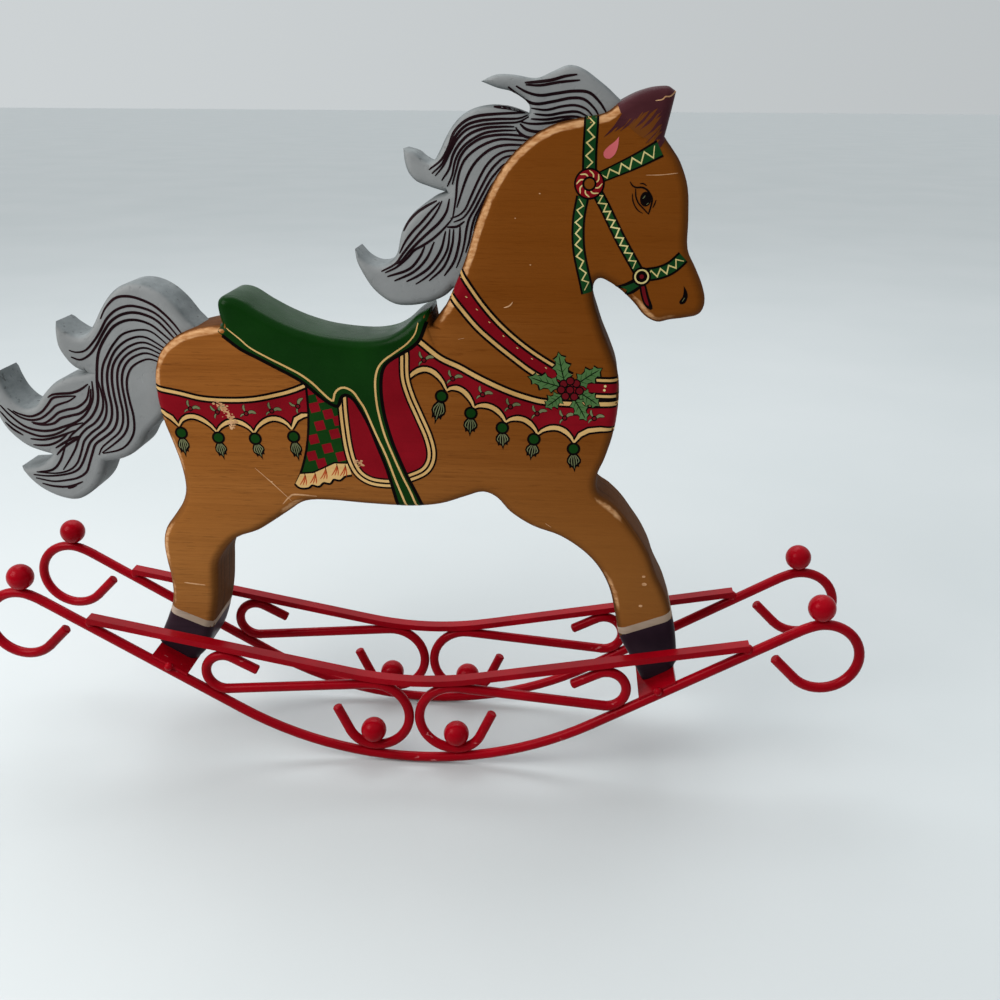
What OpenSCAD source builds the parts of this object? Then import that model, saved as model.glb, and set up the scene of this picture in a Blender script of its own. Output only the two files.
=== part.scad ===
// Wooden rocking horse ornament on a pair of bent-wire rockers.
// Millimetres. X runs along the horse with its head at +X, Y across, Z up,
// with the runners on Z = 0 and the middle plane of the horse at Y = 0.

/* [Wire rockers] */
// Diameter of the bent wire
wire_d = 3.2; // [2.6:0.1:3.4]
// Distance between the two rocker planes, centre to centre
rocker_gap = 36; // [34:1:44]
// Radius of the rocking arc along the wire centre
rail_r = 113; // [108:1:118]
// Slope at which the rail leaves the rocking arc
rail_angle = 31; // [30:0.5:32]
// Length of the straight part of each rail
rail_straight = 72; // [68:1:78]
// Radius of the loop at each end of a rail
loop_r = 11.2; // [10:0.2:12.4]
// Radius of the large curl in the middle of each scroll
curl_r = 11.8; // [11:0.1:12]
// Length of the straight leg between the large curl and the small hook
leg_len = 47.4; // [44:0.2:50]
// Radius of the small hook at the outer end of each scroll
hook_r = 6.3; // [5.6:0.1:6.6]
// Diameter of the decorative balls
ball_d = 8.4; // [7:0.2:9]

/* [Top bars] */
// Width of the flat top bar
bar_w = 3.8; // [3:0.2:5]
// Thickness of the flat top bar
bar_t = 2; // [1.5:0.1:2.4]
// Radius of the sag in the middle of the top bar
bar_r = 110; // [90:5:140]
// Slope of the straight part of the top bar on each side
bar_angle = 10.8; // [10:0.2:12]

/* [Horse boards] */
// Thickness of the board with the body, head and legs
body_t = 22; // [18:1:25]
// Thickness of the mane board
mane_t = 15; // [11:1:17]
// Thickness of the tail board
tail_t = 15; // [11:1:17]

/* [Hoof plates] */
// Size of a plate along the rail
plate_w = 13; // [11:0.5:15]
// Thickness of a plate
plate_t = 0.8; // [0.6:0.1:1.2]
// Length of a plate across both rails
plate_len = 38; // [37:0.5:39]
// Distance from the middle of the horse to the rear plate
rear_plate_x = 81.5; // [80:0.5:83]
// Distance from the middle of the horse to the front plate
front_plate_x = 79.5; // [78:0.5:81]

/* [Hidden] */
$fn = 64;
steps = 4;                     // curve pieces between two outline points
wr = wire_d / 2;
side_y = rocker_gap / 2;
sink = 0.02;                   // depth by which welded wires press into each other
curl_x = curl_r + wr + 0.1;    // the two large curls just clear each other
// height at which the large curl rests on the rocking arc
curl_z = rail_r + wr - sqrt(pow(rail_r - wire_d - curl_r + sink, 2) - pow(curl_x, 2));
// lowest point of the top bar, which rests on both large curls
bar_z = curl_z + curl_r + wr + bar_t / 2 - sink - bar_r + sqrt(pow(bar_r, 2) - pow(curl_x, 2));

// A path is a list of [0, length] straights and [radius, turn] bends, left turns positive.
// A state is [x, z, heading].
function step(s, seg) = seg[0] == 0
    ? [s[0] + seg[1] * cos(s[2]), s[1] + seg[1] * sin(s[2]), s[2]]
    : let (k = sign(seg[1]), h = s[2] + seg[1])
      [s[0] + k * seg[0] * (sin(h) - sin(s[2])),
       s[1] - k * seg[0] * (cos(h) - cos(s[2])), h];
function at(s, path, n) = n == 0 ? s : step(at(s, path, n - 1), path[n - 1]);
function end(s, path) = at(s, path, len(path));

rail_start = [0, wr, 0];
rail_path = [[rail_r, rail_angle], [0, rail_straight], [30, -9], [loop_r, -247], [0, 9.5]];
rail_low = end(rail_start, [rail_path[0]]);
loop_in = end(rail_start, [for (i = [0:2]) rail_path[i]]);
loop_c = [loop_in[0] + loop_r * sin(loop_in[2]), loop_in[1] - loop_r * cos(loop_in[2])];

scroll_top = [curl_x, curl_z + curl_r];
// slope of the leg that lets the small hook rest on the straight part of the rail
leg_reach = norm([curl_r + hook_r, leg_len]);
curl_rise = (curl_z - rail_low[1]) * cos(rail_angle) - (curl_x - rail_low[0]) * sin(rail_angle);
leg_turn = atan2(curl_r + hook_r, leg_len) - rail_angle
    - asin((hook_r + wire_d - sink - curl_rise) / leg_reach);
hook_path = [[curl_r, -leg_turn], [0, leg_len], [hook_r, 208 + leg_turn], [0, 9.3]];
curl_path = [[curl_r, 180], [9, 66], [0, 10]];

// the top bar ends where the lower corner of its tip meets the rail
bar_knee = end([0, bar_z, 0], [[bar_r, bar_angle]]);
knee_rise = (bar_knee[1] - rail_low[1]) * cos(rail_angle) - (bar_knee[0] - rail_low[0]) * sin(rail_angle);
bar_straight = (knee_rise - wr - bar_t / 2 * cos(rail_angle - bar_angle) + sink)
    / sin(rail_angle - bar_angle);
bar_tip = end(bar_knee, [[0, bar_straight]]);

// Height of the rail centre on its straight part
function rail_z(x) = rail_low[1] + (x - rail_low[0]) * tan(rail_angle);

// Closed curve through hand-placed points; a third value of 1 marks a sharp corner.
function unit(v) = v / norm(v);
function pt(p, i) = let (n = len(p), q = p[(i + n) % n]) [q[0], q[1]];
function sharp(p, i) = let (n = len(p)) len(p[(i + n) % n]) > 2;
function go_out(p, i) = sharp(p, i) ? unit(pt(p, i + 1) - pt(p, i)) : unit(pt(p, i + 1) - pt(p, i - 1));
function come_in(p, i) = sharp(p, i) ? unit(pt(p, i) - pt(p, i - 1)) : unit(pt(p, i + 1) - pt(p, i - 1));
function hermite(a, b, ta, tb, t) =
    a * (2 * t * t * t - 3 * t * t + 1) + b * (3 * t * t - 2 * t * t * t)
    + ta * (t * t * t - 2 * t * t + t) + tb * (t * t * t - t * t);
function smooth(p) = [for (i = [0:len(p) - 1]) let (a = pt(p, i), b = pt(p, i + 1), d = norm(b - a))
    for (k = [0:steps - 1]) hermite(a, b, go_out(p, i) * d, come_in(p, i + 1) * d, k / steps)];

// Profile of the body board, anticlockwise from the rear hoof
body_pts = [
    // underside of the rear hoof and the inside of the rear leg
    [-87.2, 37.8, 1], [-75.2, 30.4, 1], [-71.3, 34.5], [-67.4, 45], [-65.6, 53], [-64.7, 61],
    [-64, 66.5], [-61.5, 71], [-57, 75.8], [-50, 78.6], [-44.4, 82.2], [-39.4, 85.7],
    // belly and the back of the front leg
    [-34, 89.2], [-26, 89.8], [-14, 89.1], [0, 88.8], [9, 89.9], [17, 92.7], [22, 94.2],
    [26.2, 92.5], [30.5, 87.8], [37.4, 83.4], [46, 80.3], [53.5, 75.3], [58.5, 69.8],
    [62.2, 62.4], [64.6, 52.6], [66.2, 45.4], [69.8, 38.6], [74.2, 29.8, 1],
    // front hoof and the front of the front leg
    [84.9, 36.6, 1], [84.5, 42.2], [83.6, 48.5], [82.4, 53.8], [79.8, 61.5], [76.4, 68.4],
    [74.4, 73.8], [71.7, 79], [68.4, 83.8], [65, 88.4], [61, 92.3], [57, 95.4],
    // chest and the front of the neck
    [56.6, 100.5], [58.8, 106.5], [61, 115], [61.9, 125], [61.3, 132.8], [59.1, 138.9],
    [56.7, 144.3], [55, 149], [53.5, 153.6], [53.2, 157.8],
    // jaw, muzzle and forehead
    [54.6, 159.8], [57, 159.2], [61.2, 156.5], [65, 153], [68, 149.6], [71.6, 147.9], [75, 148.6],
    [79, 149.2], [83.2, 150.4], [84.6, 153.6], [83.7, 158], [81.4, 163], [78.8, 168.2],
    [78.4, 176], [77.6, 184.5], [75.2, 190.9], [72.8, 194.4], [70.4, 197.4, 1],
    // ear, poll and the crest of the neck
    [71.7, 203.5], [72.7, 208.6, 1], [70.2, 209.9], [64.5, 208.9], [58.6, 206.1],
    [54.6, 203.3], [47.7, 201.9], [40, 199.9], [32.2, 194.8], [25.7, 187], [20.4, 175.4],
    [17.4, 165.8], [13.8, 156.6], [10.6, 150.4], [7, 145.4, 1],
    // saddle
    [6.2, 149.9, 1], [2.6, 148.1], [-1.9, 144.1], [-6.5, 141.9], [-13.5, 141], [-24.4, 141.9],
    [-31.5, 143.6], [-38, 146.1], [-44.5, 149.5], [-49, 152.3], [-52.8, 153.1],
    [-55.2, 151.8], [-55.6, 149], [-54.8, 144.6, 1],
    // rump and the outside of the rear leg
    [-60.5, 143.8], [-66.2, 142.3], [-71.2, 139.4], [-74.8, 135.6], [-76.9, 130], [-77.3, 124.5],
    [-76.3, 115], [-74.3, 107.8], [-72.7, 101.5], [-71.9, 95.6], [-72.1, 91.2], [-73.5, 87.4],
    [-76.6, 82.9], [-79.8, 78.5], [-81.2, 73.6], [-81.1, 68], [-80.4, 61], [-80.6, 54], [-82.2, 48.4]
];

// Profile of the mane board, carried on behind the neck
mane_pts = [
    [24, 168], [18, 161], [11.6, 154.3], [8.3, 152.4], [4.5, 151.2], [0, 150.6], [-3.8, 150.9],
    [-7, 152.5], [-10.3, 155.4], [-12.8, 159.2], [-14.6, 163], [-15.1, 166.4, 1],
    [-12.8, 163.9], [-10.2, 162.4], [-7.6, 162.1], [-5, 163], [-2.9, 165.4], [-2, 169],
    [-1.2, 171.8], [0.3, 174.4], [2.3, 176.8], [5.2, 179.1], [8, 180.9], [11.9, 182.3, 1],
    [9.2, 183], [6.3, 183.9], [3.2, 185.1], [1.1, 187.3], [0.1, 190], [-0.3, 193.7, 1],
    [2.9, 192.8], [5.2, 191.1], [7.6, 190.3], [9.6, 192.8], [11.4, 196.4], [13.4, 199.6],
    [16, 202.3], [19.5, 204.2], [24, 205], [29, 204.4], [34.2, 202.7, 1], [34.2, 205],
    [32.2, 206.9], [29.2, 208.4], [25.6, 209.2], [21.2, 210.8, 1], [25.2, 212.5], [30, 212.5],
    [36, 211.7], [40.2, 213.3], [44.4, 214.9], [48, 214.2], [52.4, 211.4], [56.8, 207.9],
    [60, 204], [56, 196], [44, 192], [34, 184]
];

// Profile of the tail board, carried on behind the rump
tail_pts = [
    [-66, 134], [-72, 122], [-76, 116], [-79.5, 112.6], [-83, 109.2], [-85.8, 104.8], [-89.6, 101.8],
    [-93.4, 100.2], [-97.8, 99.4, 1], [-98.9, 96], [-101, 92], [-104.4, 88.6], [-109.4, 86],
    [-114.8, 86.7], [-120, 89.2], [-123.6, 92.4], [-126.4, 96.6, 1], [-121.5, 97], [-118, 98.4],
    [-115, 101.2, 1], [-118.6, 102.2], [-123, 104], [-127.6, 108.2], [-130, 112.4], [-131.2, 117.4],
    [-130.6, 122.6], [-128.2, 127.8, 1], [-127, 123.6], [-125, 119.6], [-121.4, 116.6],
    [-117.8, 117.4], [-114.6, 121], [-110.4, 124.8], [-105.4, 127], [-99.4, 128.3, 1], [-102.8, 129.4],
    [-105.4, 132], [-107.6, 136.6], [-107.4, 143.6, 1], [-104.8, 141.4], [-101.6, 139.6],
    [-98.6, 139.8], [-95.8, 142.6], [-92.8, 147.4], [-89.8, 151.4], [-86.4, 154.3], [-82.4, 155.7],
    [-78, 155.4], [-73.6, 153.4], [-69.8, 150], [-66.4, 145.4], [-62, 140]
];

// Everything that lies in one upright plane is drawn flat and stood up at depth y
module stand(y) {
    translate([0, y, 0]) rotate([90, 0, 0]) children();
}

module board(points, t) {
    stand(t / 2) linear_extrude(t) polygon(smooth(points));
}

// A straight rod along +Z with a small chamfer at its far end
module rod(l) {
    rotate_extrude() polygon([[0, 0], [wr, 0], [wr, l - 0.4], [wr - 0.4, l], [0, l]]);
}

// A bend and its neighbour meet inside a short collar that stands 0.04 mm proud of the wire
module collar(s) {
    translate([s[0], s[1], 0]) rotate(s[2]) rotate([0, 90, 0])
        cylinder(h = 0.6, d = wire_d + 0.08, center = true);
}

module wire(s, path) {
    for (i = [0:len(path) - 1]) {
        p = at(s, path, i);
        seg = path[i];
        translate([p[0], p[1], 0]) rotate(p[2])
            if (seg[0] == 0)
                rotate([0, 90, 0])
                    if (i == len(path) - 1) rod(seg[1]);
                    else cylinder(h = seg[1], d = wire_d);
            else if (seg[1] > 0)
                translate([0, seg[0], 0]) rotate(-90)
                    rotate_extrude(angle = seg[1]) translate([seg[0], 0]) circle(d = wire_d);
            else
                translate([0, -seg[0], 0]) rotate(90 + seg[1])
                    rotate_extrude(angle = -seg[1]) translate([seg[0], 0]) circle(d = wire_d);
        if (i > 0) collar(p);
    }
}

module rail(y) {
    stand(y) {
        wire(rail_start, rail_path);
        mirror([1, 0, 0]) wire(rail_start, rail_path);
        collar(rail_start);
    }
}

module scroll(y) {
    stand(y) {
        wire([scroll_top[0], scroll_top[1], 0], hook_path);
        wire([scroll_top[0], scroll_top[1], 180], curl_path);
        collar([scroll_top[0], scroll_top[1], 0]);
    }
}

module half_bar() {
    translate([0, bar_z + bar_r, 0]) rotate(-90) rotate_extrude(angle = bar_angle)
        translate([bar_r - bar_t / 2, -bar_w / 2]) square([bar_t, bar_w]);
    translate([bar_knee[0], bar_knee[1], 0]) rotate(bar_angle)
        translate([0, -bar_t / 2, -bar_w / 2]) cube([bar_straight, bar_t, bar_w]);
}

module top_bar(y) {
    stand(y) {
        half_bar();
        mirror([1, 0, 0]) half_bar();
    }
}

module end_ball(y) {
    reach = loop_r + wr + ball_d / 2 - sink;
    stand(y) translate([loop_c[0] - reach * sin(7), loop_c[1] + reach * cos(7), 0]) sphere(d = ball_d);
}

module curl_ball(y) {
    reach = curl_r - wr - ball_d / 2 + sink;
    stand(y) translate([curl_x + reach * sin(3), curl_z - reach * cos(3), 0]) sphere(d = ball_d);
}

// Puts the children on the rail slope, with their floor on top of both rails
module on_rail(x) {
    translate([x, 0, rail_z(x)]) rotate([0, -rail_angle, 0]) translate([0, 0, wr]) children();
}

module screw_bore(d) {
    translate([0, 0, -1]) cylinder(h = 15, d = d);
}

module plate() {
    difference() {
        translate([-plate_w / 2, -plate_len / 2, 0]) cube([plate_w, plate_len, plate_t]);
        screw_bore(2.6);
    }
}

module screw() {
    translate([0, 0, -1.4]) cylinder(h = 1.4, d = 5);
    translate([0, 0, 0]) cylinder(h = 14, d = 2.6);
}

// Bead in the corner between a bar tip's lower edge and the rail
module bar_bead(y) {
    stand(y) translate([bar_tip[0], bar_tip[1], 0]) rotate(bar_angle) translate([0, -bar_t / 2, 0])
        difference() {
            translate([-0.6, -0.3, 0]) rotate(90) sphere(d = 3.6);
            translate([-6, 0, -bar_w / 2]) cube([6, bar_t, bar_w]);
            rotate(rail_angle - bar_angle) translate([-5, sink - wr, 0]) rotate([0, 90, 0])
                cylinder(h = 10, d = wire_d);
        }
}

module plate_bead(x, y) {
    on_rail(x) difference() {
        translate([0, sign(y) * (plate_len / 2 + 0.4), 0.2]) sphere(d = 2.8);
        translate([-plate_w / 2, -plate_len / 2, 0]) cube([plate_w, plate_len, plate_t]);
        translate([-5, y, -wr]) rotate([0, 90, 0]) cylinder(h = 10, d = wire_d);
    }
}

// Which node to build

module horse_body() color("Peru") difference() {
    board(body_pts, body_t);
    // flat undersides of the hooves and the pilot bores for their screws
    mirror([1, 0, 0]) on_rail(rear_plate_x) hoof_cut();
    on_rail(front_plate_x) hoof_cut();
}

module hoof_cut() {
    translate([-12, -20, plate_t - 6]) cube([24, 40, 6]);
    screw_bore(2.6);
}

module mane() color("LightSteelBlue") stand(mane_t / 2) linear_extrude(mane_t) difference() {
    polygon(smooth(mane_pts));
    polygon(smooth(body_pts));
}

module tail() color("LightSteelBlue") stand(tail_t / 2) linear_extrude(tail_t) difference() {
    polygon(smooth(tail_pts));
    polygon(smooth(body_pts));
}

module rail_front() color("Crimson") rail(-side_y);
module rail_back() color("Crimson") rail(side_y);
module top_bar_front() color("Crimson") top_bar(-side_y);
module top_bar_back() color("Crimson") top_bar(side_y);

module scroll_front_right() color("Crimson") scroll(-side_y);
module scroll_back_right() color("Crimson") scroll(side_y);
module scroll_front_left() color("Crimson") mirror([1, 0, 0]) scroll(-side_y);
module scroll_back_left() color("Crimson") mirror([1, 0, 0]) scroll(side_y);

module end_ball_front_right() color("Crimson") end_ball(-side_y);
module end_ball_back_right() color("Crimson") end_ball(side_y);
module end_ball_front_left() color("Crimson") mirror([1, 0, 0]) end_ball(-side_y);
module end_ball_back_left() color("Crimson") mirror([1, 0, 0]) end_ball(side_y);

module curl_ball_front_right() color("Crimson") curl_ball(-side_y);
module curl_ball_back_right() color("Crimson") curl_ball(side_y);
module curl_ball_front_left() color("Crimson") mirror([1, 0, 0]) curl_ball(-side_y);
module curl_ball_back_left() color("Crimson") mirror([1, 0, 0]) curl_ball(side_y);

module rear_hoof_plate() color("Crimson") mirror([1, 0, 0]) on_rail(rear_plate_x) plate();
module front_hoof_plate() color("Crimson") on_rail(front_plate_x) plate();

module hoof_screws() color("Silver") {
    mirror([1, 0, 0]) on_rail(rear_plate_x) screw();
    on_rail(front_plate_x) screw();
}

module bar_welds() color("Crimson") for (y = [-side_y, side_y]) {
    bar_bead(y);
    mirror([1, 0, 0]) bar_bead(y);
}

module plate_welds() color("Crimson") for (y = [-side_y, side_y]) {
    plate_bead(front_plate_x, y);
    mirror([1, 0, 0]) plate_bead(rear_plate_x, y);
}

horse_body();
mane();
tail();
rail_front();
rail_back();
top_bar_front();
top_bar_back();
scroll_front_left();
scroll_front_right();
scroll_back_left();
scroll_back_right();
end_ball_front_left();
end_ball_front_right();
end_ball_back_left();
end_ball_back_right();
curl_ball_front_left();
curl_ball_front_right();
curl_ball_back_left();
curl_ball_back_right();
rear_hoof_plate();
front_hoof_plate();
hoof_screws();
bar_welds();
plate_welds();
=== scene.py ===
"""Looks of the wooden rocking horse: rounded boards, painted decoration and enamelled wire.

Drawings and boards are worked out in mm, x forward and z up. The scene is in metres.
"""
import math
import random

import bpy
import numpy as np
from mathutils import Matrix, Vector
from mathutils.geometry import delaunay_2d_cdt


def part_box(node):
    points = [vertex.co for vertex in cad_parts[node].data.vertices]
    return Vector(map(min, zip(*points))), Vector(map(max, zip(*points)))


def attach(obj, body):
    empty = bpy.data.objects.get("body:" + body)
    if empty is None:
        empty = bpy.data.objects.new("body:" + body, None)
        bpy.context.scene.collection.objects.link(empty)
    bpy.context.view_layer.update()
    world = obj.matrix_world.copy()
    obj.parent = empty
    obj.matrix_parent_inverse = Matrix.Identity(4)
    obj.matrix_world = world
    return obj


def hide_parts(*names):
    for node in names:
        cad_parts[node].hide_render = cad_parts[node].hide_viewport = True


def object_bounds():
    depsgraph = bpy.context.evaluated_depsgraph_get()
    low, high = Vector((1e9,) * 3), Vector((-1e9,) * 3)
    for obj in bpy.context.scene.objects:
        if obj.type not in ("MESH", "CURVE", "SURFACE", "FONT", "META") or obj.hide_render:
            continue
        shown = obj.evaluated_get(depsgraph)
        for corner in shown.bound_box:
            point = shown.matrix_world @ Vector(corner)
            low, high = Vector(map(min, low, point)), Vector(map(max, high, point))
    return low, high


MM = 0.001
CAMERA = (47.5, -293.5, 208.3)  # mm
LENS = 36  # mm, and the sensor is as wide
CAMERA_ANGLES = (-4.08, 22.22, -0.33)  # degrees: to the right, down and clockwise
DRAWING_SCALE = 0.9947  # brings a drawing to the board's size, about the point before the camera
FLOOR_GAP = 0.0002  # m from the rockers down to the floor, so that they share no plane

BODY_ROUND = 3.0  # mm, radius of the body board's edges
HAIR_ROUND = 2.4  # mm, the same of mane and tail
SMOOTH_ANGLE = 38  # degrees, sharper edges are shaded as creases
RING_ANGLES = (15, 30, 45, 60, 75, 90)  # where rings of points follow a rounded edge
CORNER_ANGLES = (22.5, 45, 67.5, 90)  # the same where it runs into a square edge
GRID = 6.0  # mm between points on the flat of a board
SHAPE_GAP = 1.1  # mm between points on the outline of a painted shape
LINE_GAP = 0.7  # mm between points along a painted line
TAPER = 0.3  # part of a stroke's length over which an end narrows
ARCH_STEPS = 10  # steps along each arch of a scalloped edge
TRIM_EDGE = 0.68  # mm of black each side of a gold line
SCALLOP_EDGE = 0.62  # mm of black round a gold crescent
FILM_RISE = 0.07  # mm that a coat of paint stands proud
FILM_SINK = 0.03  # mm that it reaches into the board
WRAPS = {"hoof", "hoof_band", "saddle", "ear"}  # paints that go on round the board's sides

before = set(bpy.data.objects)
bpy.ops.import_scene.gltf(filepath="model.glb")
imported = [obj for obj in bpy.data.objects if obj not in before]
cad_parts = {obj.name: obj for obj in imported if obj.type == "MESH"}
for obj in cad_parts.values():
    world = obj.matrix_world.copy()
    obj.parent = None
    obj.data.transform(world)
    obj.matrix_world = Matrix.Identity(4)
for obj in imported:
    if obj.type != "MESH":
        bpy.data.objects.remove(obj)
cad_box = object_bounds()
rng = random.Random(7)


# ---- camera, floor and lights
def link(name, data):
    """New object in the scene."""
    ob = bpy.data.objects.new(name, data)
    bpy.context.scene.collection.objects.link(ob)
    return ob


def add_camera():
    data = bpy.data.cameras.new("camera")
    data.sensor_fit = "HORIZONTAL"
    data.sensor_width = LENS
    data.lens = LENS
    data.clip_start = 0.01
    cam = link("camera", data)
    right, down, roll = (math.radians(angle) for angle in CAMERA_ANGLES)
    turn = (Matrix.Rotation(-right, 4, "Z") @ Matrix.Rotation(math.pi / 2 - down, 4, "X")
            @ Matrix.Rotation(-roll, 4, "Z"))
    cam.matrix_world = Matrix.Translation(Vector(CAMERA) * MM) @ turn
    bpy.context.scene.camera = cam


def add_area(name, place, target, size, power, colour):
    data = bpy.data.lights.new(name, "AREA")
    data.shape = "RECTANGLE"
    data.size, data.size_y = size
    data.energy = power
    data.color = colour
    lamp = link(name, data)
    lamp.location = place
    lamp.rotation_euler = (Vector(target) - Vector(place)).to_track_quat("-Z", "Y").to_euler()


# ---- shader nodes
class Nodes:
    """Builds a node tree: each method adds nodes and returns an output."""

    def __init__(self, tree):
        self.tree = tree

    def feed(self, pin, value):
        """Link an output to a socket, or set a number or a colour on it."""
        if isinstance(value, bpy.types.NodeSocket):
            self.tree.links.new(value, pin)
        elif isinstance(value, tuple) and pin.type == "RGBA":
            pin.default_value = (*value, 1)
        else:
            pin.default_value = value

    def add(self, kind, *values, **named):
        """A node with values for its first inputs, and for others by name, with _ for a space."""
        node = self.tree.nodes.new("ShaderNode" + kind)
        for pin, value in zip(node.inputs, values):
            self.feed(pin, value)
        for name, value in named.items():
            self.feed(node.inputs[name.replace("_", " ")], value)
        return node

    def noise(self, scale, detail=4.0, stretch=None, rough=0.5):
        """Noise in object space; stretch scales the axes first."""
        place = self.add("TexCoord").outputs["Object"]
        if stretch:
            place = self.add("Mapping", Vector=place, Scale=stretch).outputs["Vector"]
        node = self.add("TexNoise", Vector=place, Scale=scale, Detail=detail, Roughness=rough)
        return node.outputs["Fac"]

    def ramp(self, value, *stops):
        """Colour by value, from stops of (place, colour)."""
        node = self.add("ValToRGB", value)
        elements = node.color_ramp.elements
        while len(elements) < len(stops):
            elements.new(0.5)
        for element, (place, colour) in zip(elements, stops):
            element.position = place
            element.color = (*colour, 1)
        return node.outputs["Color"]

    def greys(self, value, *stops):
        return self.ramp(value, *((place, (level,) * 3) for place, level in stops))

    def maths(self, kind, a, b):
        node = self.add("Math", a, b)
        node.operation = kind
        return node.outputs[0]

    def times(self, a, b):
        return self.maths("MULTIPLY", a, b)

    def plus(self, a, b):
        return self.maths("ADD", a, b)

    def tint(self, base, mask, amount, colour):
        """Base with a colour over it, as much as mask times amount."""
        node = self.add("Mix")
        node.data_type = "RGBA"
        for name, value in (("Factor", self.times(mask, amount)), ("A", base), ("B", colour)):
            self.feed(next(pin for pin in node.inputs if pin.name == name and pin.enabled), value)
        return next(pin for pin in node.outputs if pin.enabled)

    def step(self, value, low, high):
        """From 0 at low to 1 at high, smoothly."""
        node = self.add("MapRange", Value=value, From_Min=low, From_Max=high)
        node.interpolation_type = "SMOOTHSTEP"
        return node.outputs["Result"]

    def attribute(self, name):
        node = self.add("Attribute")
        node.attribute_name = name
        return node.outputs["Fac"]


class Surface(Nodes):
    """A new material, built round its Principled shader."""

    def __init__(self, name):
        self.mat = bpy.data.materials.new(name)
        self.mat.use_nodes = True
        super().__init__(self.mat.node_tree)
        self.pins = self.tree.nodes["Principled BSDF"].inputs

    def finish(self, **named):
        """Feed the shader's inputs by name, with _ for a space, and return the material."""
        for name, value in named.items():
            self.feed(self.pins[name.replace("_", " ")], value)
        return self.mat

    def bump(self, height, strength, distance):
        return self.add("Bump", Strength=strength, Distance=distance, Height=height).outputs["Normal"]


# ---- materials
def paint(name, dark, light, rough, grain=0.15, shine=0.045, spread=60):
    """Brushed enamel over wood: uneven colour, a little grain and an uneven gloss."""
    s = Surface(name)
    colour = s.ramp(s.noise(spread, 5), (0.3, dark), (0.7, light))
    fibre = s.noise(1.0, 6, (60, 300, 900))
    colour = s.tint(colour, s.step(fibre, 0.55, 0.8), grain, tuple(c * 0.45 for c in dark))
    gloss = s.greys(s.noise(180), (0.3, rough - 0.06), (0.75, rough + 0.08))
    normal = s.bump(s.plus(s.times(fibre, 0.7), s.noise(500, 3)), 0.18, 0.0002)
    return s.finish(Base_Color=colour, Roughness=gloss, Normal=normal,
                    Specular_IOR_Level=shine, Specular_Tint=(0.65, 0.65, 0.65))


def wood():
    """Honey stained wood under satin varnish, rubbed bare on its rounded edges, with painted shade on the
    sides and towards the head and a painted lighter belly.
    """
    s = Surface("stained_wood")
    side = s.attribute("side")
    fine = s.noise(1.0, 8, (30, 300, 1500), 0.66)
    bands = s.noise(1.0, 4, (6, 40, 85))
    pores = s.noise(1.0, 4, (150, 500, 2600), 0.55)
    base = s.ramp(bands, (0.3, (0.205, 0.064, 0.011)), (0.5, (0.255, 0.086, 0.017)),
                  (0.72, (0.305, 0.112, 0.026)))
    base = s.tint(base, s.step(fine, 0.4, 0.72), 0.55, (0.135, 0.038, 0.006))
    base = s.tint(base, s.step(pores, 0.56, 0.7), 0.6, (0.07, 0.018, 0.004))
    base = s.tint(base, s.step(s.noise(14, 3), 0.4, 0.7), 0.35, (0.29, 0.092, 0.013))
    # painted shade: darker towards the neck and head; painted light: a paler belly and legs
    x, _, z = s.add("SeparateXYZ", s.add("TexCoord").outputs["Object"]).outputs
    forward = s.plus(x, s.times(z, 0.5))
    base = s.tint(base, s.step(forward, 0.005, 0.13), 0.78, (0.138, 0.035, 0.002))
    base = s.tint(base, s.step(z, 0.13, 0.06), 0.3, (0.33, 0.15, 0.042))
    # the sawn sides are painted darker, as painted shade, and show the grain edge on
    base = s.tint(base, side, 0.82, (0.056, 0.018, 0.0035))
    edge_grain = s.step(s.noise(1.0, 4, (22, 800, 34)), 0.47, 0.66)
    base = s.tint(base, s.times(edge_grain, side), 0.5, (0.022, 0.007, 0.0015))
    # bare, pale wood where the varnish has rubbed off
    uneven = s.maths("SUBTRACT", s.noise(1.0, 6, (420, 420, 700)), 0.5)
    bare = s.step(s.plus(s.attribute("worn"), s.times(uneven, 0.42)), 0.38, 0.7)
    pale = s.ramp(s.noise(1.0, 6, (300, 700, 1100)), (0.32, (0.36, 0.15, 0.05)), (0.68, (0.62, 0.35, 0.17)))
    base = s.tint(base, bare, 0.85, pale)
    rough = s.plus(s.plus(s.times(side, 0.2), s.times(fine, 0.25)), 0.34)
    height = s.plus(s.plus(s.times(fine, -0.5), s.times(pores, -0.7)), s.times(bare, -0.5))
    return s.finish(Base_Color=base, Roughness=rough, Normal=s.bump(height, 0.4, 0.00025),
                    Specular_IOR_Level=0.055, Specular_Tint=(0.55, 0.46, 0.38))


def hair_paint():
    """Matt blue-grey paint on the faces; the sides are pitted and painted darker, as painted shade."""
    s = Surface("blue_grey_paint")
    side = s.attribute("side")
    patches = s.noise(45, 6, None, 0.6)
    colour = s.ramp(patches, (0.3, (0.19, 0.195, 0.195)), (0.7, (0.25, 0.255, 0.255)))
    brushed = s.noise(1.0, 6, (150, 60, 150), 0.65)
    # painted shade: darker, brushed greys on the sides
    shaded_sides = s.ramp(brushed, (0.32, (0.085, 0.098, 0.1)), (0.5, (0.14, 0.155, 0.158)),
                  (0.7, (0.21, 0.225, 0.225)))
    colour = s.tint(colour, s.step(side, 0.3, 0.95), 0.85, shaded_sides)
    pits = s.step(s.noise(600), 0.6, 0.72)
    colour = s.tint(colour, s.times(pits, side), 0.75, (0.05, 0.05, 0.05))
    normal = s.bump(s.plus(brushed, s.times(pits, -0.8)), 0.3, 0.0003)
    return s.finish(Base_Color=colour, Roughness=s.plus(s.times(patches, 0.2), 0.5), Normal=normal,
                    Specular_IOR_Level=0.2, Specular_Tint=(0.6, 0.6, 0.6))


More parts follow.
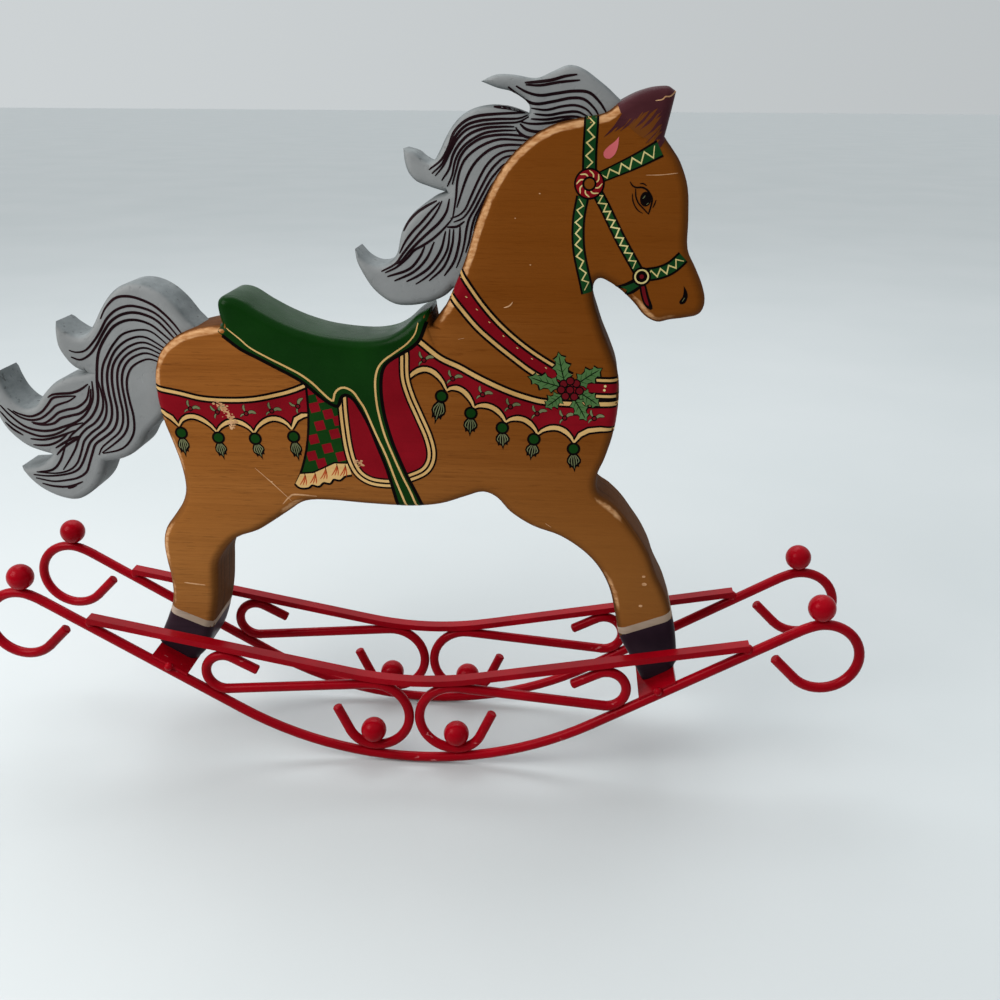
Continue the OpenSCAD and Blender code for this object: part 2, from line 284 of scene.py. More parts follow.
def enamel():
    """Thick glossy crimson enamel on wire, with small chips and scuffs."""
    s = Surface("crimson_enamel")
    colour = s.ramp(s.noise(55, 5), (0.3, (0.2, 0.0007, 0.004)), (0.7, (0.3, 0.001, 0.0065)))
    colour = s.tint(colour, s.step(s.noise(420, 3), 0.74, 0.79), 0.6, (0.07, 0.004, 0.01))
    scuffs = s.times(s.step(s.noise(1.0, 5, (260, 700, 700)), 0.66, 0.72), s.step(s.noise(30, 2), 0.54, 0.66))
    colour = s.tint(colour, scuffs, 0.7, (0.55, 0.2, 0.2))
    gloss = s.greys(s.noise(140, 5), (0.3, 0.16), (0.8, 0.3))
    return s.finish(Base_Color=colour, Roughness=gloss, Normal=s.bump(s.noise(260), 0.16, 0.0003),
                    Specular_IOR_Level=0.14, Specular_Tint=(0.8, 0.3, 0.33))


def zinc():
    s = Surface("dull_zinc")
    colour = s.ramp(s.noise(400), (0.3, (0.4, 0.4, 0.41)), (0.7, (0.6, 0.6, 0.6)))
    gloss = s.greys(s.noise(900), (0.3, 0.32), (0.8, 0.5))
    return s.finish(Base_Color=colour, Roughness=gloss, Metallic=1.0,
                    Normal=s.bump(s.noise(1500, 3), 0.2, 0.0001))


def pale_floor():
    s = Surface("pale_floor")
    colour = s.ramp(s.noise(6), (0.3, (0.5, 0.525, 0.53)), (0.7, (0.53, 0.55, 0.555)))
    return s.finish(Base_Color=colour, Roughness=0.6, Normal=s.bump(s.noise(900, 3), 0.05, 0.0003))


# ---- lines and shapes, in mm
def unit(runs):
    """Rows of a list of vectors, each made one long."""
    return runs / np.maximum(np.hypot(*runs.T), 1e-9)[:, None]


def left_of(runs):
    """Rows of a list of vectors, each turned a quarter to the left."""
    return np.column_stack([-runs[:, 1], runs[:, 0]])


def fit(points):
    """Bring a drawing, which is made a little large, to the board's size."""
    centre = (CAMERA[0], CAMERA[2])
    return (np.array(points, float) - centre) * DRAWING_SCALE + centre


def curve(points, gap=LINE_GAP):
    """Smooth open line through the points (Catmull-Rom), resampled about every gap mm."""
    p = np.array(points, float)
    if len(p) < 3:
        n = max(2, int(np.hypot(*(p[1] - p[0])) / gap))
        return p[0] + (p[1] - p[0]) * np.linspace(0, 1, n)[:, None]
    q = np.vstack([2 * p[0] - p[1], p, 2 * p[-1] - p[-2]])
    out = []
    for a, b, c, d in zip(q, q[1:], q[2:], q[3:]):
        n = max(2, int(np.hypot(*(c - b)) / gap))
        for t in np.arange(n) / n:
            out.append(0.5 * (2 * b + (c - a) * t + (2 * a - 5 * b + 4 * c - d) * t * t
                              + (3 * b - a - 3 * c + d) * t ** 3))
    out.append(p[-1])
    return np.array(out)


def stroke(line, width, tip, tail, power, flare):
    """Outline of a brush stroke along a line. A tail below 1 narrows its start and a tip below 1 its
    end, the more roundly the lower the power, and it widens evenly to flare times its width."""
    line = np.array(line, float)
    run = unit(np.diff(line, axis=0))
    ahead = np.vstack([run, run[-1]])
    behind = np.vstack([run[0], run])
    along = unit(ahead + behind)
    bend = np.clip((ahead * along).sum(1), 0.5, 1)
    s = np.linspace(0, 1, len(line))
    size = np.minimum(tail + (1 - tail) * np.clip(s / TAPER, 0, 1) ** power,
                      tip + (1 - tip) * np.clip((1 - s) / TAPER, 0, 1) ** power)
    half = (width / 2 * size * (1 + (flare - 1) * s) / bend)[:, None]
    across = left_of(along)
    return np.vstack([line + across * half, (line - across * half)[::-1]])


def disc(x, z, r, r2, n):
    a = np.arange(n) * 2 * math.pi / n
    return np.column_stack([x + r * np.cos(a), z + (r2 or r) * np.sin(a)])


def offset(line, d):
    """Line moved sideways by d mm, to its left for a positive d."""
    line = np.array(line, float)
    return line + left_of(unit(np.gradient(line, axis=0))) * d


def placer(start, tip, wide):
    """Function that places (t, s): t of the way from start to tip and s half widths across."""
    start, tip = np.array(start), np.array(tip)
    length = np.hypot(*(tip - start))
    run = (tip - start) / length
    across = np.array([-run[1], run[0]])
    return lambda t, s: start + run * length * t + across * s * wide / 2


def arches(cusps, peaks):
    """Scalloped edge: arches between cusps, each through its peak and fuller than a sine wave."""
    out = []
    for (ax, az), (px, pz), (bx, bz) in zip(cusps, peaks, cusps[1:]):
        for t in np.linspace(0, 1, ARCH_STEPS + 1)[:-1]:
            rise = pz - (az + bz) / 2
            lean = 4 * t * (1 - t) * (px - (ax + bx) / 2)
            height = rise * math.sin(math.pi * t) ** 0.72
            out.append((ax + (bx - ax) * t + lean, az + (bz - az) * t + height))
    out.append(cusps[-1])
    return out


class Drawing:
    """Painted shapes in order; a later shape covers the ones before it."""

    def __init__(self):
        self.shapes = []

    def area(self, kind, points, smooth=False):
        """Filled shape inside the points."""
        p = curve(list(points) + [points[0]])[:-1] if smooth else np.array(points, float)
        self.shapes.append((kind, fit(p)))

    def line(self, kind, points, width, tip=1.0, tail=1.0, gap=LINE_GAP, smooth=True, power=0.5, flare=1.0):
        """Brush stroke through the points, with a point of its own every gap mm if it is smooth."""
        path = curve(points, gap) if smooth else np.array(points, float)
        self.shapes.append((kind, fit(stroke(path, width, tip, tail, power, flare))))

    def dot(self, kind, x, z, r, r2=None, n=20):
        """Disc of n corners, or an oval where its height differs."""
        self.shapes.append((kind, fit(disc(x, z, r, r2, n))))

    def trim(self, points, gold, smooth=True):
        """A gold line between two black ones."""
        self.line("black", points, gold + 2 * TRIM_EDGE, smooth=smooth)
        self.line("gold", points, gold, smooth=smooth)

    def scallops(self, ends, arcs, gold):
        """Gold crescents edged in black, one along each arch and one at each end."""
        starts = range(0, len(arcs) - 1, ARCH_STEPS)
        pieces = [ends[0] + [arcs[0]], *(arcs[k:k + ARCH_STEPS + 1] for k in starts), [arcs[-1]] + ends[1]]
        for piece in pieces:
            self.line("black", piece, gold + 2 * SCALLOP_EDGE, 0.62, 0.62, smooth=False, power=0.8)
        for piece in pieces:
            self.line("gold", piece, gold, 0.35, 0.35, smooth=False, power=0.8)


# ---- boards
def outline(node):
    """Front outline of a board, in mm, as a closed anticlockwise loop."""
    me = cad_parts[node].data
    front = min(v.co.y for v in me.vertices)
    edges = set()
    for face in me.polygons:
        corners = [me.vertices[i].co for i in face.vertices]
        if all(abs(co.y - front) < 1e-5 for co in corners):
            keys = [(round(co.x / MM, 3), round(co.z / MM, 3)) for co in corners]
            for a, b in zip(keys, keys[1:] + keys[:1]):
                if (b, a) in edges:
                    edges.discard((b, a))
                elif a != b:
                    edges.add((a, b))
    following = dict(edges)
    start = min(following)
    loop, at = [start], following[start]
    while at != start:
        loop.append(at)
        at = following[at]
    loop = np.array(loop)
    x, z = loop.T
    clockwise = (x * np.roll(z, -1) - np.roll(x, -1) * z).sum() < 0
    return loop[::-1] if clockwise else loop


def distances(points, a, b):
    """Distance from each point to the nearest of the segments a-b."""
    best = np.full(len(points), 1e9)
    for s, e in zip(a, b):
        v = e - s
        t = np.clip(((points - s) @ v) / max(v @ v, 1e-12), 0, 1)
        best = np.minimum(best, np.hypot(*(points - (s + t[:, None] * v)).T))
    return best


def inside(points, polygon):
    """Which points lie in a closed polygon that may cross itself (non-zero winding)."""
    wind = np.zeros(len(points), int)
    x, z = points.T
    for (ax, az), (bx, bz) in zip(polygon, np.roll(polygon, -1, axis=0)):
        side = (bx - ax) * (z - az) - (x - ax) * (bz - az)
        wind += (az <= z) & (bz > z) & (side > 0)
        wind -= (az > z) & (bz <= z) & (side < 0)
    return wind != 0


def dense(loop):
    """Closed outline with extra points, so that it follows the rounded edges of a board."""
    out = []
    for p, q in zip(loop, np.roll(loop, -1, axis=0)):
        n = max(1, math.ceil(np.hypot(*(q - p)) / SHAPE_GAP))
        out += [p + (q - p) * k / n for k in range(n)]
    return np.array(out)


def sagitta(angle):
    """How far a quarter round has moved in from its edge at that angle, for a radius of 1."""
    return 1 - math.cos(math.radians(angle))


class Board:
    """A CAD board with its arrises rounded, apart from those that square_edges(a, b) picks."""

    def __init__(self, node, radius, square_edges):
        self.r = radius
        low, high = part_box(node)
        self.half = (high.y - low.y) / 2 / MM
        loop = outline(node)
        following = np.roll(loop, -1, axis=0)
        keep = square_edges(loop, following)
        points = []
        for p, q, square in zip(loop, following, keep):
            points.append(p)
            length = np.hypot(*(q - p))
            if square and length > 2.5 * radius:
                step = (q - p) / length * radius
                points += [p + step * sagitta(angle) for angle in CORNER_ANGLES]
                points += [q - step * sagitta(angle) for angle in reversed(CORNER_ANGLES)]
        self.loop = np.array(points)
        self.a, self.b = loop[~keep], following[~keep]

    def depth(self, points):
        """How far the rounded face lies behind the flat one, and the distance to the edge."""
        d = distances(points, self.a, self.b)
        e = np.clip(self.r - d, 0, self.r)
        return self.r - np.sqrt(np.maximum(self.r ** 2 - e ** 2, 0)), d

    def rings(self):
        """Points in rings round the rounded edge and in a grid on the flat."""
        along = np.roll(self.loop, -1, axis=0) - np.roll(self.loop, 1, axis=0)
        inward = left_of(unit(along))
        out = []
        for angle in RING_ANGLES:
            d = self.r * sagitta(angle)
            ring = self.loop + inward * d
            out.append(ring[(distances(ring, self.a, self.b) > d * 0.97) & inside(ring, self.loop)])
        (x0, z0), (x1, z1) = self.loop.min(0), self.loop.max(0)
        x, z = np.meshgrid(np.arange(x0, x1, GRID), np.arange(z0, z1, GRID))
        grid = np.column_stack([x.ravel(), z.ravel()])
        grid = grid[inside(grid, self.loop)]
        out.append(grid[distances(grid, self.a, self.b) > self.r + 0.5])
        return np.vstack(out)

    def triangles(self, shapes):
        """Flat triangulation that follows the outline and every shape's outline."""
        points, edges = [], []
        for loop in [self.loop] + [dense(shape) for _, shape in shapes]:
            first, n = len(points), len(loop)
            points += list(loop)
            edges += [(first + i, first + (i + 1) % n) for i in range(n)]
        points += list(self.rings())
        flat, _, faces, _, _, _ = delaunay_2d_cdt([Vector(p) for p in points], edges, [], 0, 0.004)
        flat = np.array([(v.x, v.y) for v in flat])
        faces = np.array([f for f in faces if len(f) == 3])
        faces = faces[inside(flat[faces].mean(1), self.loop)]
        v = flat[faces]
        area = np.cross(v[:, 1] - v[:, 0], v[:, 2] - v[:, 0])
        faces, area = faces[np.abs(area) > 1e-7], area[np.abs(area) > 1e-7]
        faces[area < 0] = faces[area < 0][:, ::-1]
        return flat, faces

    def surface(self, shapes):
        """Closed surface of front, back and sides: points in mm, faces, the kind of paint on each
        face, and each point's distance to the edge."""
        flat, faces = self.triangles(shapes)
        back, dist = self.depth(flat)
        kinds = np.array(["wood"] * len(faces), dtype=object)
        middle = flat[faces].mean(1)
        for kind, shape in shapes:
            near = np.where(((middle >= shape.min(0)) & (middle <= shape.max(0))).all(1))[0]
            if len(near):
                kinds[near[inside(middle[near], shape)]] = kind
        n = len(flat)
        y = self.half - back
        points = np.vstack([np.column_stack([flat[:, 0], -y, flat[:, 1]]),
                            np.column_stack([flat[:, 0], y, flat[:, 1]])])
        owner = {}
        for f, face in enumerate(faces):
            for i in range(3):
                owner[(face[i], face[(i + 1) % 3])] = f
        out = [tuple(f) for f in faces] + [tuple(n + i for i in f[::-1]) for f in faces]
        labels = list(kinds) + list(kinds)
        for (i, j), f in owner.items():
            if (j, i) not in owner:
                out.append((j, i, n + i, n + j))
                labels.append(kinds[f] if kinds[f] in WRAPS else "wood")
        return points, out, labels, np.concatenate([dist, dist])


def add_mesh(name, points, faces, mat, attributes=None):
    """A piece from points in mm, riding on the one body, with number attributes on its points."""
    me = bpy.data.meshes.new(name)
    me.from_pydata([tuple(p) for p in np.array(points) * MM], [], faces)
    me.validate()
    me.polygons.foreach_set("use_smooth", [True] * len(me.polygons))
    me.set_sharp_from_angle(angle=math.radians(SMOOTH_ANGLE))
    for key, values in (attributes or {}).items():
        layer = me.attributes.new(key, "FLOAT", "POINT")
        layer.data.foreach_set("value", np.array(values, np.float32))
    me.materials.append(mat)
    piece = link(name, me)
    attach(piece, "root")
    return piece


def add_film(name, points, faces, mat):
    """A thin closed coat of paint over those faces of a surface."""
    used = sorted({i for f in faces for i in f})
    where = {v: k for k, v in enumerate(used)}
    p = np.array(points)[used]
    top = [tuple(where[i] for i in f) for f in faces]
    normal = np.zeros_like(p)
    for f in top:
        a, b, c = p[f[0]], p[f[1]], p[f[2]]
        cross = np.cross(b - a, c - a)
        if len(f) == 4:
            cross = cross + np.cross(c - a, p[f[3]] - a)
        for i in f:
            normal[i] += cross
    normal /= np.maximum(np.linalg.norm(normal, axis=1), 1e-9)[:, None]
    n = len(p)
    both = np.vstack([p + normal * FILM_RISE, p - normal * FILM_SINK])
    out = top + [tuple(n + i for i in f[::-1]) for f in top]
    rim = dict.fromkeys((i, j) for f in top for i, j in zip(f, f[1:] + f[:1]))
    out += [(j, i, n + i, n + j) for i, j in rim if (j, i) not in rim]
    add_mesh(name, both, out, mat)


# ---- motifs of the decoration
def tassel(d, x, z, tip_x, tip_z, wide):
    """Knob at (x, z) with a leafy tassel under it, down to its tip."""
    at = placer((x, z - 1.2), (tip_x, tip_z), wide)
    leafy = ((0, 0.3), (0.18, 0.8), (0.4, 1.12), (0.58, 1.08), (0.68, 0.78), (0.84, 0.74), (0.78, 0.42),
             (0.88, 0.2), (1.12, 0.04), (0.9, -0.16), (0.8, -0.4), (0.88, -0.7), (0.7, -0.8), (0.52, -1.1),
             (0.3, -1.02), (0.12, -0.66), (0, -0.3))
    d.area("black", [at(t, s) for t, s in leafy])
    for s, end in ((-0.78, 0.62), (-0.36, 0.74), (0.04, 0.9), (0.42, 0.7), (0.8, 0.6)):
        leaf = [at(0.14, s * 0.35), at(0.34, s * 0.85), at(end * 0.8, s), at(end, s * 0.7)]
        d.line("sage", leaf, 0.28, 0.2, 0.5, 0.4)
    d.dot("black", x, z, 2.05)
    d.dot("forest", x, z, 1.4)


def sprig(d, x, z, turn):
    """Red berry with three small leaves, turned by some degrees."""
    leaves = ((0.62, (-0.3, 0.6), (-0.7, 1.7), (-0.5, 2.8)), (0.88, (0.5, 0.1), (1.7, 0.6), (3.1, 0.1)),
              (0.45, (-0.5, -0.2), (-1.4, -0.5), (-1.9, -1.2)))
    c, s = math.cos(math.radians(turn)), math.sin(math.radians(turn))
    for wide, *path in leaves:
        path = [(x + a * c - b * s, z + a * s + b * c) for a, b in path]
        d.line("black", path, wide + 0.35, 0.3, 0.3, 0.3)
        d.line("sage", path, wide, 0.1, 0.1, 0.3)
    d.dot("black", x, z, 0.85, n=12)
    d.dot("berry", x, z, 0.5, n=10)


def holly_leaf(d, x, z, tip_x, tip_z, wide):
    """Spiked leaf from (x, z) to its tip."""
    at = placer((x, z), (tip_x, tip_z), wide)
    side = [(0.04, 0.2), (0.16, 0.62), (0.2, 1.0), (0.32, 0.62), (0.46, 0.72), (0.53, 1.08), (0.62, 0.58),
            (0.74, 0.5), (0.8, 0.72), (0.87, 0.25), (1, 0)]
    full = side + [(t, -s) for t, s in reversed(side[:-1])]
    d.area("black", [at(t + (0.04 if t > 0.5 else -0.02), s * 1.16) for t, s in full])
    d.area("leaf", [at(t, s) for t, s in full])
    d.line("black", [at(0.05, 0), at(0.5, 0.04), at(0.9, 0)], 0.34, 0.3)
    for t, s in ((0.22, 0.6), (0.42, 0.62), (0.62, 0.45)):
        for way in (1, -1):
            d.line("forest", [at(t - 0.06, 0), at(t + 0.08, s * way)], 0.26, 0.3, smooth=False)


def strap(d, line, wide, turns, reach=0.3, flip=1, flare=1.0):
    """Green strap with black edges and a cream zigzag, brushed a little unevenly."""
    d.line("black", line, wide + 1 / flare, flare=flare)
    d.line("strap", line, wide - 0.15 / flare, flare=flare)
    path = curve(line, 0.3)
    across = left_of(unit(np.gradient(path, axis=0)))
    zigzag = []
    for k, t in enumerate(np.linspace(0.04, 0.96, 2 * turns + 1)):
        i = int(t * (len(path) - 1))
        side = flip * (1 if k % 2 else -1) * wide * reach * (1 + (flare - 1) * t)
        slip = np.array([rng.uniform(-0.12, 0.12), rng.uniform(-0.12, 0.12)])
        zigzag.append(path[i] + across[i] * side + slip)
    d.line("cream", zigzag, 0.38, 0.6, 0.6, smooth=False)


# ---- decoration of the body board
def band(d, top, arcs, ends, corner, top_gold, arc_gold, sprigs, tassels, wide):
    """Red band with a gold line along its top and gold crescents along its arched lower edge, with
    sprigs on it and tassels under it. The red goes down to the corner, the arcs and the last end."""
    d.area("red", top + (corner + arcs + ends[1])[::-1])
    d.trim(top, top_gold)
    d.scallops(ends, arcs, arc_gold)
    for x, z, turn in sprigs:
        sprig(d, x, z, turn)
    for x, z, tip_x, tip_z in tassels:
        tassel(d, x, z, tip_x, tip_z, wide)


def rump_band(d):
    top = [(-80, 125.4), (-75.3, 124.4), (-70, 123.4), (-63.1, 121.9), (-55, 121.6), (-47.5, 122.1),
           (-40, 123.7), (-35, 125.2), (-30.5, 127.1)]
    arcs = arches([(-71.4, 113.1), (-59.7, 111.4), (-48.1, 111.4), (-36.3, 113)],
                  [(-66.4, 116.2), (-54, 115), (-42.1, 116.2)])
    ends = [(-80.5, 118.6), (-76, 117.2), (-73.4, 115.6)], [(-34.8, 116.2), (-32.8, 117.4), (-30, 117.9)]
    sprigs = ((-67.2, 118.6, 0), (-58.9, 117.8, 35), (-50, 117.6, 0), (-42, 118.6, 5), (-33.9, 120.3, 55))
    tassels = ((-70.9, 110.8, -70.4, 103.6), (-59.4, 109.6, -58.4, 103), (-47.9, 109.6, -46.3, 103.4),
               (-35.9, 110.6, -34.9, 103.4))
    band(d, top, arcs, ends, ends[0], 0.95, 1.2, sprigs, tassels, 3.4)


def breast_band(d):
    top = [(0.5, 142.9), (3.8, 140.6), (9.4, 136.2), (15, 133.6), (20, 130.9), (25, 128.5), (30, 126.4),
           (35, 124.8), (40, 123.7), (48, 123.3), (56.3, 123.4), (64, 123.7)]
    arcs = arches([(-1.2, 128), (11.3, 126.4), (19.4, 121.3), (28.8, 117.1), (38.4, 113.6), (49.3, 111.3)],
                  [(5.4, 132.7), (15.8, 126.6), (24.7, 121.6), (34.1, 118.1), (44.4, 115.7)])
    ends = [(-3, 127.4)], [(51, 113.8), (53.5, 115.2), (57, 115.7), (63, 115.5)]
    sprigs = ((4.7, 135.4, 15), (13.1, 130, 10), (21.9, 125.4, 5), (30.2, 121.9, 10), (38.1, 120, 15),
              (46.3, 118.9, 20), (55, 119, 10))
    tassels = ((9.7, 124.6, 7.6, 116.6), (18.4, 119.6, 18, 112.9), (27.8, 115.3, 28, 109),
               (37.3, 112, 36.4, 105.8), (49.2, 109.3, 49.7, 102.5))
    band(d, top, arcs, ends, [], 1.2, 1.3, sprigs, tassels, 3.9)


def checked_cloth(d):
    """Green cloth behind the blanket, with tilted red checks."""
    cloth = [(-31, 128), (-30.8, 120), (-31.1, 113.8), (-31.9, 108.1), (-33.1, 103.1), (-34.7, 98.3),
             (-30.6, 98.8), (-27.5, 100.3), (-23.8, 102.2), (-20, 102.2), (-20.4, 112), (-20.8, 121),
             (-27, 124.5)]
    d.area("forest", cloth)
    half, tilt = 1.5, math.radians(14)
    c, s = math.cos(tilt) * half, math.sin(tilt) * half
    for x, z in ((-28.8, 120.1), (-24.7, 118.1), (-27.5, 114.4), (-23.1, 111.9), (-29.7, 110),
                 (-25.6, 107.2), (-21.5, 104.7), (-30.6, 104.6), (-27.8, 102.3), (-26.5, 123.2),
                 (-29.4, 125.6), (-21.8, 116.2)):
        d.area("red", [(x - c - s, z - s + c), (x - c + s, z - s - c),
                       (x + c + s, z + s - c), (x + c - s, z + s + c)])
    d.line("black", cloth[:6], 0.75)


def pleated_fringe(d):
    """Gold fringe along the lower edge of the checked cloth."""
    top = [(-34.7, 98.5), (-30.6, 98.9), (-27.5, 100.4), (-23.8, 102.3), (-19.5, 102.3)]
    lobes = curve([(-36.4, 95.3), (-35, 94.1), (-32.6, 94.2), (-31.2, 95.2), (-29.2, 94.8), (-27.6, 96.1),
                   (-25.6, 95.9), (-24.4, 97.3), (-22.4, 97.1), (-20.8, 98.4), (-18.6, 98.9)], 0.4)
    d.area("black", offset(lobes, -0.7).tolist() + offset(top, 0.55).tolist()[::-1])
    d.area("gold", lobes.tolist() + top[::-1])
    for x, z in ((-33.2, 98.6), (-30, 99.2), (-26.6, 100.8), (-23, 102.1), (-20.4, 102)):
        for lean in (-1.9, -0.9, 0.1):
            pleat = [(x, z - 0.5), (x + lean * 0.6 + 0.2, z - 2.4), (x + lean, z - 3.8)]
            d.line("orange", pleat, 0.38, 0.3, 1, 0.4)
        d.line("black", [(x - 0.1, z + 0.1), (x + 0.2, z - 1.8)], 0.3, 0.3, smooth=False)


def blanket(d):
    """Red saddle blanket: a panel each side of the girth."""
    left = [(-20.2, 124.5), (-20.2, 120.3), (-19.9, 114.4), (-19.3, 108.1), (-18.2, 103), (-16.2, 99.2),
            (-12.9, 97), (-8.7, 96.3), (-4, 96.4)]
    right = [(-1.2, 138.2), (-1.1, 136.6), (-1.1, 130), (0.3, 124.4), (2.8, 118.2), (5.3, 111.9),
             (6.35, 106.9), (5.7, 103.2), (3.5, 100.4), (-1.2, 98.2), (-3.5, 97.6)]
    d.area("red", left + [(-5, 100), (-14, 122)])
    d.area("red", right + [(-5, 100), (-9, 120), (-8, 134)])
    for edge in (left, right):
        for kind, width in (("black", 3.4), ("gold", 2.3), ("black", 0.6)):
            d.line(kind, edge, width)


def saddle(d):
    """Saddle, its flap and the girth, with a gold line inside each edge."""
    left = [(-56.4, 142.5), (-55, 141.4), (-50, 137.5), (-45, 134.9), (-40, 132.3), (-35, 129.7),
            (-31.5, 127.5), (-27.5, 124), (-24, 121.4), (-21.6, 120.7), (-20.6, 123.2), (-19.2, 124.2),
            (-17, 123.1), (-15, 120), (-12.5, 115), (-10, 108), (-7.5, 100.8), (-5, 91), (-3.4, 84)]
    right = [(6.6, 149.6), (5.6, 146.6), (3.8, 141.9), (1.6, 139.4), (-1.3, 137.5), (-5, 135.3),
             (-7.2, 133.1), (-8.2, 129.4), (-8.3, 123.8), (-7.5, 117.5), (-5.6, 110), (-3.8, 105),
             (-1.3, 98.8), (2.5, 90.6), (4.6, 84)]
    gold_left = [(-53.6, 143.6), (-50, 140.6), (-47, 137.9), (-42, 135.1), (-37, 132.6), (-32.5, 130.2),
                 (-29, 127.6), (-26.5, 125.1), (-24.2, 122.9), (-23, 122.4), (-22.5, 124.4), (-21.3, 125.9),
                 (-19.4, 126.5), (-16.9, 125.3), (-15, 122.5), (-13.4, 119.7), (-10.6, 112.5), (-7.5, 105),
                 (-5, 97.5), (-2.5, 90.6), (-0.4, 84)]
    gold_right = [(3.2, 146.3), (2.2, 143.1), (-0.3, 140.1), (-4.1, 137.3), (-7.2, 135), (-9.1, 132.5),
                  (-10, 128.8), (-10, 123.8), (-9.4, 118.8), (-7.8, 111.9), (-5.3, 105), (-2.8, 98.8),
                  (0, 92.5), (2.9, 84)]
    over = [(3.2, 152.8), (-8, 160), (-50, 160), (-58.5, 156), (-57, 148), (-56.2, 145.6), (-55.9, 143.3)]
    d.area("saddle", curve(left).tolist() + curve(right).tolist()[::-1] + over)
    for edge in (left[1:], right[1:]):
        d.line("black", edge, 1.05)
    for edge in (gold_left, gold_right):
        d.line("gold", edge, 0.62, 1, 0.4)


def neck_strap(d):
    """Trimmed red strap round the neck, and its end beyond the holly."""
    upper = [(15.4, 161.2), (17.1, 158.6), (21.5, 152.4), (26.4, 146.8), (32, 141.8), (37.5, 137.8),
             (43.8, 134), (48, 131.8)]
    lower = [(12.4, 154.8), (15, 151.6), (20, 145.7), (25, 141.2), (30.6, 136.8), (35.6, 133.1), (40, 130.6),
             (46, 128)]
    d.area("red", curve(upper).tolist() + curve(lower).tolist()[::-1])
    d.area("red", [(48, 126.4), (48, 130.4), (64, 130.4), (64, 126.4)])
    d.trim([(50, 130.8), (57, 130.6), (64, 130.6)], 0.8, smooth=False)
    d.trim([(50, 126), (57, 125.8), (64, 125.8)], 0.8, smooth=False)
    d.trim(upper, 0.8)
    d.trim(lower, 0.95)
    for x, z in ((17.3, 154.1), (20.3, 150.6), (23.9, 147), (28, 143.1), (32, 139.7), (36.3, 136.6),
                 (40.4, 134)):
        d.line("cream", [(x - 0.25, z + 0.15), (x + 0.25, z - 0.2)], 0.42, 0.5, 0.5, 0.3, smooth=False)
    for x, z in ((57.6, 127.7), (57.8, 128.9)):
        d.dot("cream", x, z, 0.4, n=8)


def holly(d):
    """Leaves round a cluster of berries on the breast."""
    for x, z, tip_x, tip_z, wide in (
            (46, 129.6, 43.9, 138.6, 5), (49.5, 129.3, 56.6, 134.2, 5), (50.4, 126.8, 56.4, 122.9, 4.6),
            (48.8, 125, 52.8, 118.2, 4.4), (45.2, 125.8, 40.5, 122, 4.6), (44.6, 128.4, 35.3, 131.2, 4.8)):
        holly_leaf(d, x, z, tip_x, tip_z, wide)
    for x, z in ((47.6, 127.5), (45.7, 129.3), (49.4, 129.5), (50.4, 127.3), (48.9, 125.5), (46.3, 125.6),
                 (45, 127.5), (47.6, 130.2)):
        d.dot("black", x, z, 1.36, n=14)
        d.dot("berry", x, z, 0.98, n=14)


def ear(d):
    """Ear painted to its rim and brushed down from there in streaks."""
    d.area("ear", [(58.6, 203.2), (57, 207), (64, 215), (79, 215), (77, 196), (71.6, 196.2), (66, 201),
                   (60.6, 203)])
    d.area("ear_mid", [(59.8, 203.4), (62, 204.6), (65, 205.4), (68.4, 205.8), (70, 204.4), (70.2, 200.6),
                       (69.4, 197.6), (66.6, 196.6), (63.8, 197.6), (61.4, 199.4), (60, 201.2)])
    rim = curve([(59, 203), (62.2, 204.9), (66, 206), (69.2, 206.4), (71.2, 204.6), (71.6, 200.8),
                 (70.6, 197.2)], 0.1)
    streaks = 34
    for k in range(streaks):
        x, z = rim[int((k + 0.5) / streaks * (len(rim) - 1))]
        reach = rng.uniform(2.6, 5.4) if k % 3 else rng.uniform(5.5, 9.2)
        reach *= min(1.0, (z - 193) / 9)
        streak = [(x, z), (x - 0.34 * reach, z - 0.52 * reach), (x - 0.74 * reach, z - 0.9 * reach)]
        d.line("ear", streak, rng.uniform(0.5, 1.05), 0.05, 0.9, 0.5, power=1.2)
    for x, z, reach in ((64.4, 203.6, 3.6), (66.6, 203.4, 4.4), (68.2, 201.4, 5), (69.4, 199.8, 4.6)):
        streak = [(x, z), (x - 0.36 * reach, z - 0.5 * reach), (x - 0.76 * reach, z - 0.86 * reach)]
        d.line("ear_mid", streak, 0.42, 0.1, 0.2, 0.4)


